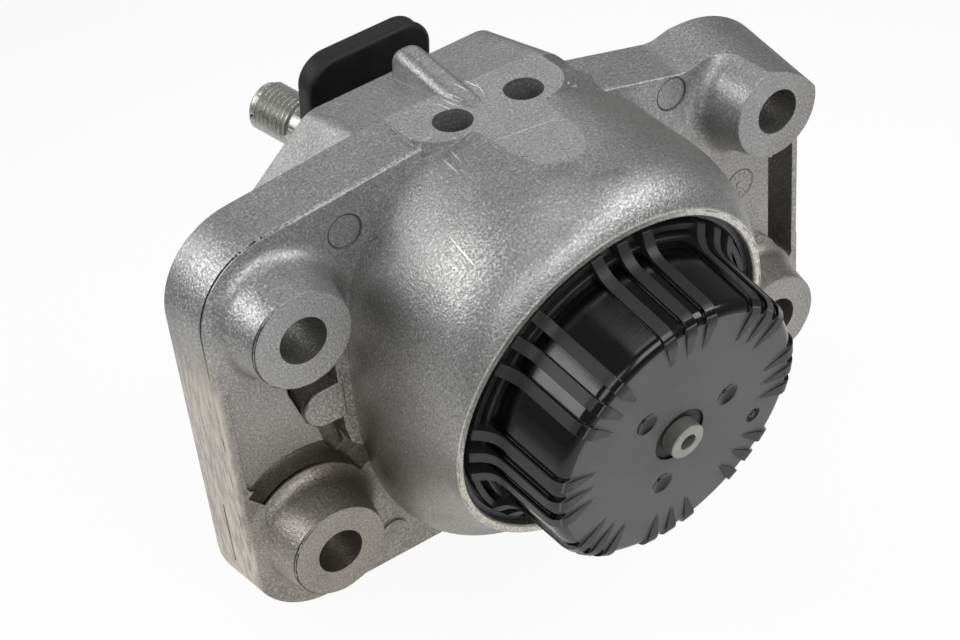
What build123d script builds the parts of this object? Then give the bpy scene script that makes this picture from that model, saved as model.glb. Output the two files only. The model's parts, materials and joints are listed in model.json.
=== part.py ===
from build123d import *
from math import cos, radians, sin
import os

# Engine mount, lengths in millimetres, angles in degrees.
# The row frame has X along the flange, Z up and Y pointing away from the cap.
# Its origin is the centre of the four bolt faces, which lie in the plane Y = 0.

# Bolt pattern and bosses
bolt_span_x = 136.0
bolt_span_z = 65.4
bolt_hole_d = 12.0
boss_face_d = 24.8
boss_root_d = 30.5
boss_height = 12.8
boss_root_fillet = 4.5
boss_edge_r = 0.3

# Flange plate
plate_thickness = 14.4
plate_draft = 7.0
end_margin = 19.9
top_margin = 20.0
right_top_margin = 16.2
bottom_margin = 27.4
corner_r = 21.5
right_top_corner_r = 28.0
right_top_dip = 1.6
right_top_dip_x = 50.0
right_top_crest_x = 56.0
right_top_crest_r = 6.0
right_top_dip_r = 10.0
shoulder_x = 24.0
shoulder_z = 53.2
shoulder_r = 4.0
land_end_r = 3.0
front_edge_r = 0.5

# Tilted axis of the rubber and fluid parts
axis_x = -5.1
axis_z = 7.8
axis_drop = 8.35
axis_swing = 3.1

# Dome and rim, stations run forward along the tilted axis from the bolt faces
rim_station = 26.4
rim_outer_d = 91.8
rim_lip = 2.1
rim_chamfer = 0.5
dome_shift = 1.6
dome_root_width = 96.4
dome_root_height = 127.0
dome_root_z = -0.5
dome_root_sink = 7.0
dome_waist_width = 97.4
dome_waist_height = 118.6
dome_waist_z = 0.8
dome_shoulder_station = 16.0
dome_shoulder_width = 94.6
dome_shoulder_height = 105.0
dome_fullness = 0.744
dome_shoulder_fullness = 0.73

# Land with the two top holes
land_z = 59.3
land_width = 43.0
land_front = 9.4
land_corner_r = 9.0
land_slope = 16.0
land_run = 15.0
land_hole_d = 9.6
land_hole_pitch = 19.7
land_hole_y = 15.6
land_hole_depth = 11.0

# Hood behind the flange
hood_rear_station = 56.0
hood_root_station = 17.0
hood_cavity_station = 29.0
hood_wall = 4.6
hood_overlap = 2.0
hood_top = 38.8
hood_root_top = 52.0
hood_offset = -0.9
hood_bottom = 36.0
hood_root_bottom = 46.0
hood_half_width = 47.2
hood_root_half_width = 50.5
hood_flat_half = 26.5
hood_shoulder = 19.0
hood_right_shoulder = 13.5
hood_root_shoulder = 25.0
hood_side_bottom = 16.0
hood_corner_r = 7.0
ridge_width = 7.4
ridge_height = 48.6
ridge_offset = -1.2
ridge_rear_gap = 1.5

# Pockets in the front of the flange
web_pocket_depth = 1.6
deep_pocket_depth = 8.5
deep_pocket_reach = 6.5
pocket_border = 4.8
pocket_corner_r = 1.5
strip_width = 3.6
channel_border = 3.6
channel_width = 6.8
channel_depth = 10.5
channel_slant = 10.5
right_panel_gap = 3.0
right_panel_rise = 5.5
right_panel_r = 3.0
moat_outer_r = 22.8
moat_width = 5.6
moat_depth = 6.5
moat_start = 30.0
moat_end = 132.0
lug_width = 10.6
lug_reach = 10.0
lug_stand = 0.7
ejector_mark_d = 8.6
ejector_mark_depth = 0.3
left_mark_inset = 40.3
left_mark_drop = 7.3
right_mark_inset = 42.5
right_mark_drop = 7.5
raised_mark_d = 7.6
raised_mark_height = 0.5
raised_mark_inset = 41.2
raised_mark_lift = 10.8
side_slot_length = 19.0
side_slot_width = 0.8
side_slot_lift = 30.1

# Pockets in the back of the flange
rear_pocket_depth = 8.0
rear_side_pocket_depth = 3.5
rear_bottom_pocket_height = 9.0
rear_rib = 4.5
rear_pocket_r = 4.0

# Bore of the housing
stack_bore_d = 83.2
cap_seat_station = 19.5
spring_seat_station = -6.0
spring_seat_bore_d = 74.0
throat_d = 66.0
throat_station = -24.0
snap_groove_depth = 0.9
slip_gap = 0.1

# Ribbed bottom cap
cap_face_station = 49.0
cap_front_d = 71.0
cap_root_d = 73.4
cap_wall = 2.6
cap_wall_flare = 0.5
cap_edge_r = 3.2
cap_flange_gap = 0.5
cap_flange_thickness = 3.0
cap_step_station = 26.0
cap_step_d = 77.0
cap_step_back = 23.7
cap_step_flare = 1.4
cap_ridge_sink = 0.5
cap_ridge_width = 1.5
cap_ridge_station = 25.4
cap_spigot_depth = 2.6
rib_groups = 8
ribs_per_group = 3
rib_pitch_angle = 10.0
rib_width = 3.0
rib_height = 1.0
rib_kink_station = 28.6
rib_kink_r = 6.0
rib_rim_gap = 1.8
rib_outer_station = 25.6
rib_tip_d = 47.0
rib_face_height = 0.7
dimple_count = 3
dimple_circle_d = 29.6
dimple_angle = 15.0
dimple_d = 6.4
dimple_depth = 1.0
clock_circle_d = 51.6
clock_angle = -22.0
clock_d = 4.2
clock_depth = 0.3

# Snap ring that holds the cap
snap_ring_thickness = 1.6
snap_ring_gap_angle = 24.0
snap_ring_rib_gap = 0.4

# Vacuum port
port_d = 9.5
port_bore_d = 4.4
port_stand = 3.0
port_chamfer = 0.3
grommet_d = 12.0
grommet_flange_d = 14.4
grommet_flange = 0.8
grommet_recess = 1.4
port_o_ring_d = 2.0

# Fluid channel plates, membrane, cup and bellows
bead_thickness = 4.0
lower_plate_thickness = 6.0
upper_plate_thickness = 4.0
channel_mean_d = 66.0
channel_section = 6.0
channel_depth_upper = 1.6
channel_depth_lower = 3.4
channel_arc = 300.0
grid_hole_d = 3.0
grid_rings = 2
plate_seal_d = 1.8
rivet_d = 3.0
rivet_head_d = 5.0
rivet_head = 0.9
rivet_count = 3
rivet_circle_d = 50.0
membrane_d = 46.0
membrane_thickness = 2.6
cup_d = 40.0
cup_depth = 9.0
cup_wall = 2.0
bellows_thickness = 1.8
bellows_fold_depth = 12.0
bellows_gap = 0.8
bellows_side_gap = 1.5
bellows_lean = 4.0
bellows_crest = 5.0
clamp_width = 4.0
clamp_thickness = 1.0

# Rubber spring, its ring and the core
spring_ring_wall = 2.6
spring_top_width = 4.5
spring_shoulder = 4.0
spring_clearance = 1.0
core_nose_station = -11.0
core_nose_d = 26.0
core_max_d = 38.0
core_max_station = -18.0
core_neck_d = 27.0
core_neck_station = -37.0
travel_buffer_d = 42.0
travel_buffer_length = 9.0
travel_buffer_station = -46.0

# Stop plate, its rubber cover and the stud
stop_front_station = -70.3
stop_rubber = 1.8
stop_steel = 3.0
stop_shift = 1.3
stop_half_width = 18.6
stop_top = 36.6
stop_bottom = 17.0
stop_corner_r = 8.5
stop_edge_r = 1.3
stop_parting_step = 0.5
stop_cover = 2.6
stud_d = 14.0
stud_shank_d = 13.0
stud_pitch = 1.5
stud_swing = 13.5
stud_cross_station = -71.8
stud_drop = 1.5
stud_length = 36.3
stud_thread_length = 14.0
stud_flats = 11.6
stud_chamfer = 1.2
stud_collar_d = 19.0
stud_collar = 3.0
stud_seat_stand = 8.2
stud_socket_depth = 16.0
core_spigot_d = 20.0

flange_frame = Plane.XZ
axis_frame = Plane(
    origin=(axis_x, 0, axis_z),
    x_dir=(cos(radians(axis_swing)), sin(radians(axis_swing)), 0),
    z_dir=(
        sin(radians(axis_swing)) * cos(radians(axis_drop)),
        -cos(radians(axis_swing)) * cos(radians(axis_drop)),
        -sin(radians(axis_drop)),
    ),
)
stud_frame = axis_frame * Plane(
    origin=(0, -stud_drop, stud_cross_station),
    x_dir=(cos(radians(stud_swing)), 0, -sin(radians(stud_swing))),
    z_dir=(-sin(radians(stud_swing)), 0, -cos(radians(stud_swing))),
)

plate_front = -boss_height
plate_back = plate_front - plate_thickness
flange_end = bolt_span_x / 2 + end_margin
flange_top = bolt_span_z / 2 + top_margin
flange_right_top = bolt_span_z / 2 + right_top_margin
flange_bottom = -bolt_span_z / 2 - bottom_margin
boss_centres = [(sx * bolt_span_x / 2, sz * bolt_span_z / 2) for sx in (-1, 1) for sz in (-1, 1)]
rim_bore_d = rim_outer_d - 2 * rim_lip
snap_groove_d = rim_bore_d + 2 * snap_groove_depth
cap_flange_d = rim_bore_d - 2 * cap_flange_gap
rib_outer_d = rim_bore_d - 2 * rib_rim_gap
cap_ridge_d = rib_outer_d - 2 * cap_ridge_sink
cap_inner_r = cap_root_d / 2 - cap_wall - cap_wall_flare
bellows_r = cap_inner_r - bellows_side_gap
bead_front = cap_seat_station - cap_spigot_depth
bead_back = bead_front - bead_thickness
lower_plate_back = bead_back - lower_plate_thickness
upper_plate_back = lower_plate_back - upper_plate_thickness
cup_front = lower_plate_back + membrane_thickness + cup_depth


def turned(*points):
    profile = make_face(Polyline(*points, close=True))
    return revolve(Plane.XZ * profile, Axis.Z)


def ring(outer_d, inner_d, front, back):
    return turned(
        (inner_d / 2, back), (outer_d / 2, back), (outer_d / 2, front), (inner_d / 2, front)
    )


def disc(diameter, front, back):
    return Pos(0, 0, back) * extrude(Circle(diameter / 2), front - back)


def rounded(corners):
    face = make_face(Polyline(*[(x, y) for x, y, r in corners], close=True))
    for x, y, r in corners:
        if r > 0:
            corner = face.vertices().sort_by_distance((x, y, 0))[0]
            face = fillet(corner, r)
    return face


def prism(face, front, back):
    return Pos(0, 0, back) * extrude(face, front - back, dir=(0, 0, 1))


# Outline of the flange seen from the cap side.
def flange_outline():
    half_land = land_width / 2
    dip = flange_right_top - right_top_dip
    return rounded(
        [
            (-flange_end, flange_top, corner_r),
            (-flange_end, flange_bottom, corner_r),
            (flange_end, flange_bottom, corner_r),
            (flange_end, flange_right_top, right_top_corner_r),
            (right_top_crest_x, flange_right_top, right_top_crest_r),
            (right_top_dip_x, dip, right_top_dip_r),
            (shoulder_x, shoulder_z, shoulder_r),
            (axis_x + half_land, land_z, land_end_r),
            (axis_x - half_land, land_z, 0),
        ]
    )


def boss_body():
    root_r = boss_root_d / 2
    skirt_r = root_r + 1.5 * boss_root_fillet
    profile = rounded(
        [
            (0, plate_back, 0),
            (skirt_r, plate_back, 0),
            (skirt_r, plate_front, 0),
            (root_r, plate_front, boss_root_fillet),
            (boss_face_d / 2, 0, boss_edge_r),
            (0, 0, 0),
        ]
    )
    return revolve(Plane.XZ * profile, Axis.Z)


def hood_section(top, bottom, half_width, left_shoulder, right_shoulder):
    left = hood_offset - half_width
    right = hood_offset + half_width
    return rounded(
        [
            (hood_offset - hood_flat_half, top, hood_corner_r),
            (hood_offset + hood_flat_half, top, hood_corner_r),
            (right, right_shoulder, hood_corner_r),
            (right, -hood_side_bottom, hood_corner_r),
            (hood_offset + hood_flat_half, -bottom, hood_corner_r),
            (hood_offset - hood_flat_half, -bottom, hood_corner_r),
            (left, -hood_side_bottom, hood_corner_r),
            (left, left_shoulder, hood_corner_r),
        ]
    )


def hood_body(inset, rear_run):
    front = hood_section(
        hood_root_top, hood_root_bottom, hood_root_half_width, hood_root_shoulder, hood_root_shoulder
    )
    rear = hood_section(hood_top, hood_bottom, hood_half_width, hood_shoulder, hood_right_shoulder)
    if inset > 0:
        front = offset(front, -inset)
        rear = offset(rear, -inset)
    return loft(
        [Pos(0, 0, -hood_rear_station - rear_run) * rear, Pos(0, 0, -hood_root_station) * front],
        ruled=True,
    )


# A block that reaches past the flange and the hood, with its front at zero.
def room_behind():
    return Box(
        2 * flange_end, 2 * flange_end, 2 * hood_rear_station,
        align=(Align.CENTER, Align.CENTER, Align.MAX),
    )


# The hood starts inside the plate and never shows in front of it.
def ridged_hood():
    keep = flange_frame * Pos(0, 0, plate_back + hood_overlap) * room_behind()
    shell = axis_frame * hood_body(0, 0) & keep & height_limit()
    return shell + ridge()


# A closed curve through eight points, rounder or squarer with its fullness.
def dome_section(width, height, fullness):
    w = width / 2
    h = height / 2
    points = [
        (w, 0), (fullness * w, fullness * h), (0, h), (-fullness * w, fullness * h),
        (-w, 0), (-fullness * w, -fullness * h), (0, -h), (fullness * w, -fullness * h),
    ]
    return make_face(Spline(*points, periodic=True))


def dome_body():
    centre_x = axis_x + dome_shift
    root = flange_frame * Pos(centre_x, dome_root_z, plate_front - dome_root_sink)
    root = root * dome_section(dome_root_width, dome_root_height, dome_fullness)
    waist = flange_frame * Pos(centre_x, dome_waist_z, 0)
    waist = waist * dome_section(dome_waist_width, dome_waist_height, dome_fullness)
    shoulder = axis_frame * Pos(dome_shift / 2, 0, dome_shoulder_station)
    shoulder = shoulder * dome_section(dome_shoulder_width, dome_shoulder_height, dome_shoulder_fullness)
    rim = axis_frame * Pos(0, 0, rim_station) * Ellipse(rim_outer_d / 2, rim_outer_d / 2 - 0.01)
    return loft([root, waist, shoulder, rim])


# Everything round the axis stays under the land and above the lower edge of the flange.
def height_limit():
    return Pos(0, 0, (land_z + flange_bottom) / 2) * Box(
        2 * flange_end, 4 * hood_rear_station, land_z - flange_bottom
    )


# The land widens downwards, so that its flanks run out into the dome and the plate.
def top_land():
    depth = plate_thickness + boss_height - land_front
    outline = Rectangle(land_width, 2 * depth)
    outline = fillet(outline.vertices(), land_corner_r)
    body = extrude(outline, land_run, taper=-land_slope)
    body = Pos(axis_x, land_front + depth, land_z) * Rot(180, 0, 0) * body
    keep = Box(
        2 * flange_end, 2 * flange_end, plate_thickness + boss_height,
        align=(Align.CENTER, Align.CENTER, Align.MIN),
    )
    return body & flange_frame * Pos(0, 0, plate_back) * keep


def ridge():
    width = ridge_width
    run = hood_rear_station - ridge_rear_gap - hood_root_station
    bar = Box(width, ridge_height, run, align=(Align.CENTER, Align.MAX, Align.MAX))
    rear_top = bar.edges().filter_by(Axis.X).group_by(Axis.Y)[-1].sort_by(Axis.Z)[0]
    bar = fillet(rear_top, 5)
    long_edges = bar.edges().filter_by(Axis.Z).group_by(Axis.Y)[-1]
    bar = fillet(long_edges, width / 2 - 0.8)
    return axis_frame * Pos(ridge_offset, ridge_height, -hood_root_station) * bar


def bore_cutter():
    bore = turned(
        (0, rim_station + 1),
        (rim_bore_d / 2 + rim_chamfer + 1, rim_station + 1),
        (rim_bore_d / 2, rim_station - rim_chamfer),
        (rim_bore_d / 2, cap_seat_station),
        (stack_bore_d / 2, cap_seat_station),
        (stack_bore_d / 2, spring_seat_station),
        (spring_seat_bore_d / 2, spring_seat_station),
        (throat_d / 2, throat_station),
        (throat_d / 2, -hood_cavity_station - 1),
        (0, -hood_cavity_station - 1),
    )
    groove_front = cap_seat_station + cap_flange_thickness + snap_ring_thickness + slip_gap
    groove = disc(snap_groove_d, groove_front, cap_seat_station + cap_flange_thickness)
    return axis_frame * (bore + groove)


def hood_cutter():
    clear = hood_body(hood_wall, 0.01)
    return axis_frame * (clear & Pos(0, 0, -hood_cavity_station) * room_behind())


def web_limits():
    floor_half = bolt_span_z / 2 - boss_root_d / 2 - boss_root_fillet + 1.5
    strip_left = axis_x + dome_shift - dome_root_width / 2 - strip_width
    return floor_half, strip_left


# The moat runs round the upper side of the lower left boss.
def boss_moat():
    x, z = -bolt_span_x / 2, -bolt_span_z / 2
    outer = moat_outer_r
    sector = [(0, 0)]
    steps = 4
    for step in range(steps + 1):
        angle = radians(moat_start + (moat_end - moat_start) * step / steps)
        sector.append((2 * outer * cos(angle), 2 * outer * sin(angle)))
    area = make_face(Polyline(*sector, close=True))
    band = Circle(outer) - Circle(outer - moat_width)
    return Pos(x, z, 0) * prism(band & area, plate_front + 1, plate_front - moat_depth)


def left_pockets():
    floor_half, strip_left = web_limits()
    left = -flange_end + pocket_border
    panel = rounded(
        [
            (left, -floor_half, 2.5),
            (strip_left, -floor_half, 1),
            (strip_left, floor_half + 1, 1),
            (left, floor_half + 4, 2.5),
        ]
    )
    cuts = [prism(panel, plate_front + 1, plate_front - web_pocket_depth), boss_moat()]
    lug_left = strip_left - lug_reach
    upper = rounded(
        [
            (lug_left + 1, -lug_width / 2 + 1.5, 0),
            (strip_left, -lug_width / 2 + 1.5, 0),
            (strip_left, floor_half, pocket_corner_r),
            (lug_left - 2.5, floor_half, pocket_corner_r),
            (lug_left - 2.5, lug_width / 2 + 2, pocket_corner_r),
        ]
    )
    lower = rounded(
        [
            (lug_left + 3, -lug_width / 2 + 1.5, 0),
            (lug_left + 5, -floor_half + 1, 2),
            (strip_left - 1, -floor_half - deep_pocket_reach, pocket_corner_r),
            (strip_left + 2, -floor_half - deep_pocket_reach + 2, pocket_corner_r),
            (strip_left, -lug_width / 2 - 4, 2),
            (strip_left, -lug_width / 2 + 1.5, 0),
        ]
    )
    for pocket in (upper, lower):
        cuts.append(prism(pocket, plate_front + 1, plate_front - deep_pocket_depth))
    return cuts


# A rounded tongue reaches over the deep pockets from the strip beside the dome.
def lug():
    strip_left = web_limits()[1]
    r = lug_width / 2
    tongue = Pos(strip_left - lug_reach + r, 0) * Circle(r)
    tongue = tongue + Pos(strip_left - lug_reach + r, 0) * Rectangle(
        lug_reach - r + 1, lug_width, align=(Align.MIN, Align.CENTER)
    )
    body = prism(tongue, plate_front + lug_stand, plate_front - plate_thickness / 2)
    top = body.faces().sort_by(Axis.Z)[-1]
    return fillet(top.edges(), lug_stand)


def right_pockets():
    half_z = bolt_span_z / 2
    floor_half = web_limits()[0]
    dome_right = axis_x + dome_shift + dome_root_width / 2
    channel_right = flange_end - channel_border
    channel_left = channel_right - channel_width
    panel = rounded(
        [
            (dome_right + right_panel_gap, -floor_half, 0),
            (channel_left - right_panel_gap, -floor_half - 1, right_panel_r),
            (channel_left + 1, -floor_half - 5, 0),
            (channel_left + 1, half_z - boss_root_d + right_panel_rise, 0),
            (dome_right + right_panel_gap, floor_half + 6, 1.5),
        ]
    )
    channel = rounded(
        [
            (channel_left, -floor_half - 4.5, 1.2),
            (channel_right, -floor_half - 4.5 - channel_slant, 1.2),
            (channel_right, floor_half, 1.2),
            (channel_left, floor_half, 1.2),
        ]
    )
    return [
        prism(panel, plate_front + 1, plate_front - web_pocket_depth),
        prism(channel, plate_front + 1, plate_front - channel_depth),
    ]


def ejector_marks():
    mark = disc(ejector_mark_d, plate_front + 1, plate_front - ejector_mark_depth)
    left = Pos(left_mark_inset - flange_end, flange_top - left_mark_drop, 0) * mark
    right = Pos(flange_end - right_mark_inset, flange_right_top - right_mark_drop, 0) * mark
    return [left, right]


def raised_mark():
    mark = disc(raised_mark_d, plate_front + raised_mark_height, plate_front - 1)
    return Pos(raised_mark_inset - flange_end, flange_bottom + raised_mark_lift, 0) * mark


def side_slot():
    middle = (plate_front + plate_back) / 2
    slot = Box(side_slot_width, side_slot_length, side_slot_width)
    inwards = plate_thickness / 2 * sin(radians(plate_draft))
    return Pos(inwards - flange_end, flange_bottom + side_slot_lift, middle) * slot


# Cored pockets in the mounting side leave a rib along every edge and round every boss.
def rear_pockets():
    half_x = bolt_span_x / 2
    half_z = bolt_span_z / 2
    boss_r = boss_root_d / 2 - 1
    hood_left = axis_x - hood_root_half_width - hood_wall
    hood_right = axis_x + hood_root_half_width + 1.5 * hood_wall
    outer = flange_end - rear_rib - 1.5
    beside_channel = flange_end - channel_border - channel_width - rear_rib
    low = -half_z + boss_r
    high = half_z - boss_r
    cuts = []
    for inner, edge in ((hood_left, -outer), (hood_right, beside_channel)):
        x0, x1 = sorted((inner, edge))
        face = rounded(
            [(x0, low, rear_pocket_r), (x1, low, rear_pocket_r), (x1, high, rear_pocket_r),
             (x0, high, rear_pocket_r)]
        )
        cuts.append(prism(face, plate_back + rear_side_pocket_depth, plate_back - 1))
    bottom = flange_bottom + rear_rib
    top = bottom + rear_bottom_pocket_height
    span = half_x - boss_r
    for x0, x1 in ((-span, -rear_rib / 2), (rear_rib / 2, span)):
        face = rounded(
            [(x0, bottom, rear_pocket_r), (x1, bottom, rear_pocket_r),
             (x1, top, rear_pocket_r), (x0, top, rear_pocket_r)]
        )
        cuts.append(prism(face, plate_back + rear_pocket_depth, plate_back - 1))
    return [flange_frame * cut for cut in cuts]


def housing():
    outline = flange_outline()
    plate = Pos(0, 0, plate_back) * extrude(outline, plate_thickness, taper=plate_draft)
    plate = fillet(plate.faces().sort_by(Axis.Z)[-1].edges(), front_edge_r)
    height = plate_thickness + boss_height
    envelope = Pos(0, 0, plate_back) * extrude(outline, height + 1, taper=plate_draft)
    bosses = [Pos(x, z, 0) * boss_body() for x, z in boss_centres]
    body = flange_frame * (plate + [boss & envelope for boss in bosses])
    hood = ridged_hood()
    body = body + ((dome_body() + top_land()) & height_limit()) + hood
    front_cuts = left_pockets() + right_pockets() + ejector_marks() + [side_slot()]
    body = body - [flange_frame * cut for cut in front_cuts] - rear_pockets()
    body = body + flange_frame * lug() + flange_frame * raised_mark()
    body = body - bore_cutter() - hood_cutter()
    for x, z in boss_centres:
        hole = Pos(x, z, 0) * disc(bolt_hole_d, 1, plate_back - 1)
        body = body - flange_frame * hole
    for side in (-1, 1):
        drill = Cylinder(
            land_hole_d / 2, land_hole_depth + 1, align=(Align.CENTER, Align.CENTER, Align.MIN)
        )
        x = axis_x + side * land_hole_pitch / 2
        body = body - Pos(x, land_hole_y, land_z - land_hole_depth) * drill
    return body


def cap_rib():
    front_r = cap_front_d / 2
    top = cap_face_station + rib_face_height
    inside = front_r - cap_edge_r
    foot = cap_seat_station + cap_flange_thickness - 1
    outline = rounded(
        [
            (inside, foot, 0),
            (rib_outer_d / 2, foot, 0),
            (rib_outer_d / 2, rib_outer_station, 0.6),
            (cap_root_d / 2 + rib_height, rib_kink_station, rib_kink_r),
            (front_r + rib_height, top, cap_edge_r + rib_height),
            (inside, top, 0),
        ]
    )
    side = extrude(Plane.XZ * outline, rib_width / 2, both=True)
    end = Plane(origin=(inside, 0, cap_face_station), x_dir=(0, 1, 0), z_dir=(1, 0, 0))
    sink = rib_face_height
    tip = Vertex(rib_tip_d / 2, 0, cap_face_station - 0.1)
    wedge = loft([tip, end * Rectangle(rib_width, 2 * sink)])
    return side + wedge


# The outer ridge is left out between the ribs of a group.
def cap_ridges():
    outer = cap_ridge_d / 2
    foot = cap_seat_station + cap_flange_thickness - 1
    profile = make_face(
        Polyline(
            (outer - cap_ridge_width, foot), (outer, foot), (outer, cap_ridge_station),
            (outer - cap_ridge_width, cap_ridge_station), close=True,
        )
    )
    span = 360 / rib_groups - (ribs_per_group - 1) * rib_pitch_angle
    arc = revolve(Plane.XZ * profile, Axis.Z, span)
    start = (ribs_per_group - 1) * rib_pitch_angle / 2
    return [Rot(0, 0, start + group * 360 / rib_groups) * arc for group in range(rib_groups)]


def bottom_cap():
    front_r = cap_front_d / 2
    root_r = cap_root_d / 2
    seat = cap_seat_station + cap_flange_thickness
    spigot_back = cap_seat_station - cap_spigot_depth
    profile = rounded(
        [
            (grommet_d / 2, cap_face_station, 0),
            (front_r, cap_face_station, cap_edge_r),
            (root_r, cap_step_station, 0),
            (cap_step_d / 2, cap_step_station, 0.5),
            (cap_step_d / 2, cap_step_back, 0),
            (cap_step_d / 2 + cap_step_flare, seat, 0),
            (cap_flange_d / 2, seat, 0),
            (cap_flange_d / 2, cap_seat_station, 0),
            (stack_bore_d / 2 - slip_gap, cap_seat_station, 0),
            (stack_bore_d / 2 - slip_gap, spigot_back, 0),
            (cap_inner_r, spigot_back, 0),
            (front_r - cap_wall, cap_face_station - cap_wall, cap_edge_r / 2),
            (grommet_d / 2, cap_face_station - cap_wall, 0),
        ]
    )
    shell = revolve(Plane.XZ * profile, Axis.Z)
    rib = cap_rib()
    ribs = []
    for group in range(rib_groups):
        for place in range(ribs_per_group):
            angle = group * 360 / rib_groups + (place - (ribs_per_group - 1) / 2) * rib_pitch_angle
            ribs.append(Rot(0, 0, angle) * rib)
    cap = shell + ribs + cap_ridges()
    cuts = []
    for place in range(dimple_count):
        angle = radians(dimple_angle + place * 360 / dimple_count)
        r = dimple_circle_d / 2
        ball_r = (dimple_d ** 2 / 4 + dimple_depth ** 2) / (2 * dimple_depth)
        centre_z = cap_face_station + ball_r - dimple_depth
        cuts.append(Pos(r * cos(angle), r * sin(angle), centre_z) * Sphere(ball_r))
    angle = radians(clock_angle)
    clock = Pos(clock_circle_d / 2 * cos(angle), clock_circle_d / 2 * sin(angle), 0)
    cuts.append(clock * disc(clock_d, cap_face_station + 1, cap_face_station - clock_depth))
    cuts.append(disc(grommet_flange_d, cap_face_station + 1, cap_face_station - grommet_recess))
    return axis_frame * (cap - cuts)


def snap_ring():
    outer = snap_groove_d - 2 * slip_gap
    inner = rib_outer_d + 2 * snap_ring_rib_gap
    back = cap_seat_station + cap_flange_thickness
    body = ring(outer, inner, back + snap_ring_thickness, back)
    gap = Rot(0, 0, -90) * Pos(outer / 2, 0, back) * Box(
        outer / 4, outer * sin(radians(snap_ring_gap_angle / 2)), outer / 4
    )
    return axis_frame * (body - gap)


def port_sleeve():
    front = cap_face_station + port_stand
    back = cup_front - cup_wall
    return axis_frame * turned(
        (port_bore_d / 2, front),
        (port_d / 2 - port_chamfer, front),
        (port_d / 2, front - port_chamfer),
        (port_d / 2, back),
        (port_bore_d / 2, back),
    )


def port_grommet():
    seat = cap_face_station - grommet_recess
    inside = cap_face_station - cap_wall
    flange = ring(grommet_flange_d, port_d, seat + grommet_flange, seat)
    neck = ring(grommet_d, port_d, seat, inside)
    lip = ring(grommet_flange_d, port_d, inside, inside - grommet_flange)
    return axis_frame * (flange + neck + lip)


def port_o_ring():
    section = Pos(port_d / 2 + port_o_ring_d / 2, cup_front + port_o_ring_d / 2) * Circle(port_o_ring_d / 2)
    return axis_frame * revolve(Plane.XZ * section, Axis.Z)


def bellows_diaphragm():
    neck = port_d / 2 + bellows_thickness
    valley = cup_front + port_o_ring_d + bellows_gap
    crest = bead_front + bellows_fold_depth
    fold = [
        (bellows_r, bead_front),
        (bellows_r - bellows_lean, crest),
        (bellows_r - bellows_lean - bellows_crest, crest),
        (cup_d / 2, valley),
        (neck + bellows_crest, valley),
        (neck, crest),
    ]
    other_side = [(r, z - bellows_thickness) for r, z in reversed(fold)]
    body = turned(*fold, *other_side)
    body = body + ring(stack_bore_d, 2 * bellows_r - 1, bead_front, bead_back)
    sleeve = ring(2 * neck, port_d, crest + clamp_width, crest - bellows_thickness)
    return axis_frame * (body + sleeve)


def bellows_clamp():
    inner_d = port_d + 2 * bellows_thickness
    back = bead_front + bellows_fold_depth + 0.5
    return axis_frame * ring(inner_d + 2 * clamp_thickness, inner_d, back + clamp_width - 1, back)


def channel_groove(depth_front, depth_back, middle):
    arc = turned(
        (channel_mean_d / 2 - channel_section / 2, middle - depth_back),
        (channel_mean_d / 2 + channel_section / 2, middle - depth_back),
        (channel_mean_d / 2 + channel_section / 2, middle + depth_front),
        (channel_mean_d / 2 - channel_section / 2, middle + depth_front),
    )
    keep_angle = 360 - channel_arc
    blank = Polyline(
        (0, 0),
        (channel_mean_d * cos(radians(keep_angle / 2)), channel_mean_d * sin(radians(keep_angle / 2))),
        (channel_mean_d * cos(radians(keep_angle / 2)), -channel_mean_d * sin(radians(keep_angle / 2))),
        close=True,
    )
    return arc - prism(make_face(blank), middle + channel_section, middle - channel_section)


def rivet_places():
    return [
        Rot(0, 0, place * 360 / rivet_count) * Pos(rivet_circle_d / 2, 0, 0)
        for place in range(rivet_count)
    ]


def grid_holes(front, back):
    holes = [disc(grid_hole_d, front, back)]
    for row in range(1, grid_rings + 1):
        count = 6 * row
        radius = row * grid_hole_d * 2
        for place in range(count):
            angle = radians(place * 360 / count)
            holes.append(Pos(radius * cos(angle), radius * sin(angle), 0) * disc(grid_hole_d, front, back))
    return holes


def lower_channel_plate():
    plate = disc(stack_bore_d - 2 * slip_gap, bead_back, lower_plate_back)
    seal = ring(
        stack_bore_d + 2, stack_bore_d - 2 * slip_gap - 2 * plate_seal_d,
        lower_plate_back + 1 + plate_seal_d, lower_plate_back + 1,
    )
    pocket = disc(membrane_d + 2 * slip_gap, lower_plate_back + membrane_thickness, lower_plate_back - 1)
    window = disc(cup_d, bead_back + 1, lower_plate_back)
    body = plate - seal - pocket - window - channel_groove(channel_depth_lower, 1, lower_plate_back)
    for spot in rivet_places():
        body = body - spot * disc(rivet_d, bead_back + 1, lower_plate_back - 1)
    exit_hole = Rot(0, 0, 180 / rivet_count) * Pos(channel_mean_d / 2, 0, 0)
    body = body - exit_hole * disc(channel_section - 1, bead_back + 1, lower_plate_back)
    return axis_frame * body


def upper_channel_plate():
    plate = disc(stack_bore_d - 2 * slip_gap, lower_plate_back, upper_plate_back)
    body = plate - channel_groove(1, channel_depth_upper, lower_plate_back)
    body = body - grid_holes(lower_plate_back + 1, upper_plate_back - 1)
    for spot in rivet_places():
        body = body - spot * disc(rivet_d, lower_plate_back + 1, upper_plate_back - 1)
    entry = Rot(0, 0, -180 / rivet_count) * Pos(channel_mean_d / 2, 0, 0)
    body = body - entry * disc(channel_section - 1, lower_plate_back, upper_plate_back - 1)
    return axis_frame * body


def channel_seal():
    front = lower_plate_back + 1 + plate_seal_d
    return axis_frame * ring(
        stack_bore_d, stack_bore_d - 2 * slip_gap - 2 * plate_seal_d, front, lower_plate_back + 1
    )


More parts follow.
